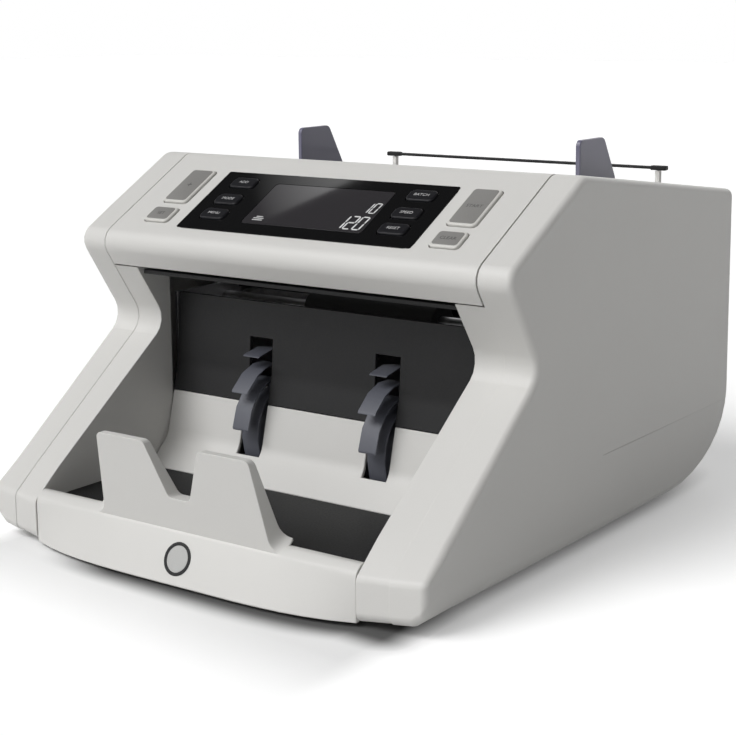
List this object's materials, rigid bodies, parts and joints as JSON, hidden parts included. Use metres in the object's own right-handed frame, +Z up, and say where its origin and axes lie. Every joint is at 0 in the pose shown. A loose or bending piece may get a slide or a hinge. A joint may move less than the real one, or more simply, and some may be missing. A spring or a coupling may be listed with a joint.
{
  "type": "banknote counter",
  "caption": "Desktop banknote counter: sloping key panel with display, rear hopper with sliding guides, belt-driven feed rollers and a front stacker pocket with finned wheels.",
  "frame": {"origin": "bottom centre of the bounding box, on the surface that the feet stand on", "axes": "+X towards the viewer's right, front of the machine at -Y, +Z up"},
  "size_m": [0.25, 0.2986, 0.1833],
  "materials": {
    "housing": "warm light grey moulded plastic, fine satin texture",
    "dark_plastic": "black moulded plastic",
    "display_gloss": "glossy black display plate",
    "lcd": "dark grey glossy display window",
    "black_keys": "black satin keys",
    "grey_keys": "mid grey satin keys",
    "guide_plastic": "blue-grey smoked plastic",
    "steel": "zinc plated sheet and ground rod",
    "rubber": "matt black rubber",
    "circuit_board": "green solder mask",
    "fin_plastic": "flexible dark grey plastic",
    "motor_steel": "grey painted steel"
  },
  "bodies": {
    "machine": {"base_pan": "steel", "left_side_cover": "housing", "right_side_cover": "housing", "stacker_front": "housing", "stacker_floor": "dark_plastic", "stacker_back_plate": "housing", "transport_guard": "dark_plastic", "stacker_ceiling": "dark_plastic", "control_cover": "housing", "display_panel": "display_gloss", "lcd_window": "lcd", "control_board": "circuit_board", "rear_cover": "housing", "hopper_tray": "dark_plastic", "rest_bar": "dark_plastic", "left_chassis_plate": "steel", "right_chassis_plate": "steel", "separator_shaft": "steel", "separator_roller": "rubber", "drive_motor": "motor_steel", "drive_belt": "rubber", "stacker_belt": "rubber", "pickup_belt": "rubber", "power_supply": "motor_steel", "main_board": "circuit_board", "mains_inlet": "dark_plastic", "switch_body": "dark_plastic", "front_left_foot": "rubber", "front_right_foot": "rubber", "rear_left_foot": "rubber", "rear_right_foot": "rubber"},
    "feed": {"feed_shaft": "steel", "left_feed_roller": "rubber", "right_feed_roller": "rubber", "feed_drive_pulley": "dark_plastic", "feed_double_pulley": "dark_plastic"},
    "pickup": {"pickup_shaft": "steel", "left_pickup_roller": "rubber", "right_pickup_roller": "rubber", "pickup_pulley": "dark_plastic"},
    "stacker": {"stacker_shaft": "steel", "left_stacker_wheel": "fin_plastic", "right_stacker_wheel": "fin_plastic", "stacker_pulley": "dark_plastic"},
    "rotor": {"motor_shaft": "steel", "motor_pulley": "dark_plastic"},
    "left_guide": {"left_hopper_guide": "guide_plastic"},
    "right_guide": {"right_hopper_guide": "guide_plastic"},
    "rocker": {"power_rocker": "black_keys"},
    "left_upper": {"left_upper_key": "black_keys"},
    "left_middle": {"left_middle_key": "black_keys"},
    "left_lower": {"left_lower_key": "black_keys"},
    "right_upper": {"right_upper_key": "black_keys"},
    "right_middle": {"right_middle_key": "black_keys"},
    "right_lower": {"right_lower_key": "black_keys"},
    "left_long": {"left_long_key": "grey_keys"},
    "left_short": {"left_short_key": "grey_keys"},
    "right_long": {"right_long_key": "grey_keys"},
    "right_short": {"right_short_key": "grey_keys"}
  },
  "joints": [
    {"name": "feed_turn", "type": "hinge", "parent": "machine", "child": "feed", "pos_m": [0, 0.026, 0.08], "axis": [1, 0, 0], "continuous": true},
    {"name": "pickup_turn", "type": "hinge", "parent": "machine", "child": "pickup", "pos_m": [0, 0.052, 0.104], "axis": [1, 0, 0], "continuous": true},
    {"name": "stacker_turn", "type": "hinge", "parent": "machine", "child": "stacker", "pos_m": [0, -0.022, 0.055], "axis": [1, 0, 0], "continuous": true},
    {"name": "motor_turn", "type": "hinge", "parent": "machine", "child": "rotor", "pos_m": [0, 0.072, 0.045], "axis": [1, 0, 0], "continuous": true},
    {"name": "left_guide_slide", "type": "slide", "parent": "machine", "child": "left_guide", "axis": [-1, 0, 0], "range_m": [-0.034, 0.0085]},
    {"name": "right_guide_slide", "type": "slide", "parent": "machine", "child": "right_guide", "axis": [1, 0, 0], "range_m": [-0.034, 0.0085]},
    {"name": "power_switch_tip", "type": "hinge", "parent": "machine", "child": "rocker", "pos_m": [0.03, 0.1432, 0.064], "axis": [1, 0, 0], "range_deg": [-14, 0]},
    {"name": "left_upper_press", "type": "slide", "parent": "machine", "child": "left_upper", "axis": [0, 0.4863, -0.8738], "range_m": [0, 0.001], "stiffness_N_per_m": 900},
    {"name": "left_middle_press", "type": "slide", "parent": "machine", "child": "left_middle", "axis": [0, 0.4863, -0.8738], "range_m": [0, 0.001], "stiffness_N_per_m": 900},
    {"name": "left_lower_press", "type": "slide", "parent": "machine", "child": "left_lower", "axis": [0, 0.4863, -0.8738], "range_m": [0, 0.001], "stiffness_N_per_m": 900},
    {"name": "right_upper_press", "type": "slide", "parent": "machine", "child": "right_upper", "axis": [0, 0.4863, -0.8738], "range_m": [0, 0.001], "stiffness_N_per_m": 900},
    {"name": "right_middle_press", "type": "slide", "parent": "machine", "child": "right_middle", "axis": [0, 0.4863, -0.8738], "range_m": [0, 0.001], "stiffness_N_per_m": 900},
    {"name": "right_lower_press", "type": "slide", "parent": "machine", "child": "right_lower", "axis": [0, 0.4863, -0.8738], "range_m": [0, 0.001], "stiffness_N_per_m": 900},
    {"name": "left_long_press", "type": "slide", "parent": "machine", "child": "left_long", "axis": [0, 0.4863, -0.8738], "range_m": [0, 0.001], "stiffness_N_per_m": 900},
    {"name": "left_short_press", "type": "slide", "parent": "machine", "child": "left_short", "axis": [0, 0.4863, -0.8738], "range_m": [0, 0.001], "stiffness_N_per_m": 900},
    {"name": "right_long_press", "type": "slide", "parent": "machine", "child": "right_long", "axis": [0, 0.4863, -0.8738], "range_m": [0, 0.001], "stiffness_N_per_m": 900},
    {"name": "right_short_press", "type": "slide", "parent": "machine", "child": "right_short", "axis": [0, 0.4863, -0.8738], "range_m": [0, 0.001], "stiffness_N_per_m": 900}
  ],
  "couplings": [
    {"joint": "pickup_turn", "follows": "feed_turn", "ratio": 1},
    {"joint": "stacker_turn", "follows": "feed_turn", "ratio": 0.7},
    {"joint": "motor_turn", "follows": "feed_turn", "ratio": 1.5556}
  ]
}
